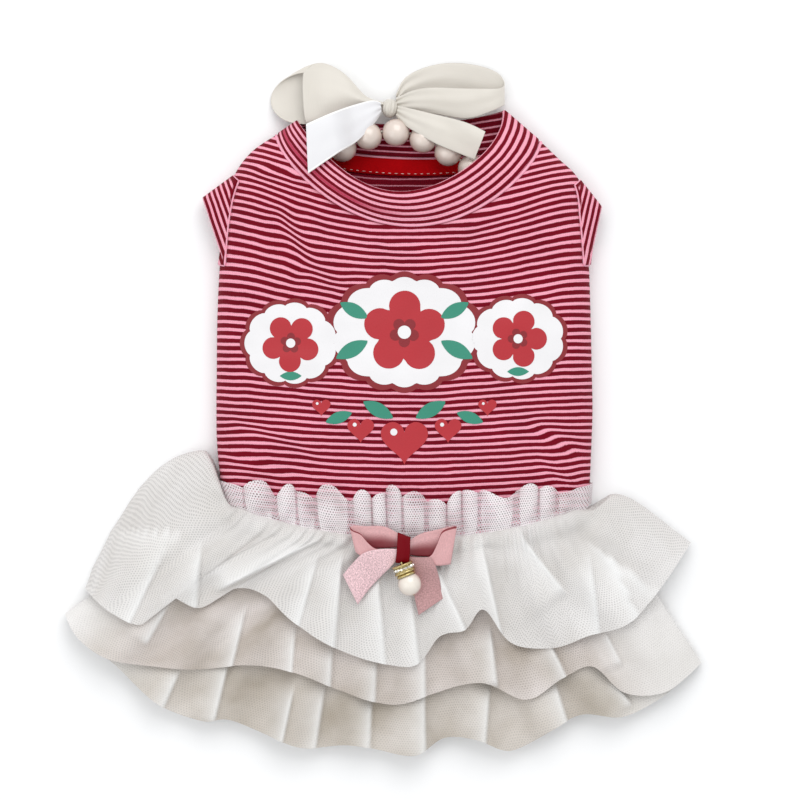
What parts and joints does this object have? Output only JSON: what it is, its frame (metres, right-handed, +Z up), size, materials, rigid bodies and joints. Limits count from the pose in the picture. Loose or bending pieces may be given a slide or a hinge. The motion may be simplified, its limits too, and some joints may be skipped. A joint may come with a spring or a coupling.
{
  "type": "dog dress",
  "caption": "Small dog dress laid flat: striped jersey bodice with sleeves and collar, layered net skirt, pearls at the neck and satin bows.",
  "frame": {"origin": "centre of the dress's bounding box in plan, on the surface that it lies on", "axes": "+Z up from that surface, +Y from the skirt towards the neck, +X to the right as the picture shows it"},
  "size_m": [0.2946, 0.3166, 0.0321],
  "materials": {
    "striped_jersey": "soft cotton jersey, crimson and pink stripes",
    "red_cotton": "matt cotton binding",
    "net": "soft white net",
    "pearl": "pearl lustre",
    "thread": "waxed thread",
    "ivory_satin": "satin ribbon",
    "pink_satin": "satin ribbon",
    "red_satin": "satin ribbon",
    "gold_metal": "polished gold plate with clear stones"
  },
  "bodies": {
    "root": {"bodice": "striped_jersey", "sleeve_left": "striped_jersey", "sleeve_right": "striped_jersey", "collar": "striped_jersey", "neck_tape": "red_cotton", "skirt_tier_upper": "net", "skirt_tier_middle": "net", "skirt_tier_lower": "net", "waist_ruffle": "net", "neck_pearl_1": "pearl", "neck_pearl_2": "pearl", "neck_pearl_3": "pearl", "neck_pearl_4": "pearl", "neck_pearl_5": "pearl", "neck_pearl_6": "pearl", "neck_pearl_7": "pearl", "neck_pearl_thread": "thread", "neck_bow_knot": "ivory_satin", "neck_bow_loop_left": "ivory_satin", "neck_bow_loop_right": "ivory_satin", "neck_bow_tail_left": "ivory_satin", "neck_bow_tail_right": "ivory_satin", "waist_bow_loop_left": "pink_satin", "waist_bow_loop_right": "pink_satin", "waist_bow_band": "red_satin", "waist_bow_tail_left": "pink_satin", "waist_bow_tail_right": "pink_satin", "pendant_rondelle": "gold_metal", "pendant_pearl": "pearl", "pendant_pin": "gold_metal"}
  },
  "joints": []
}
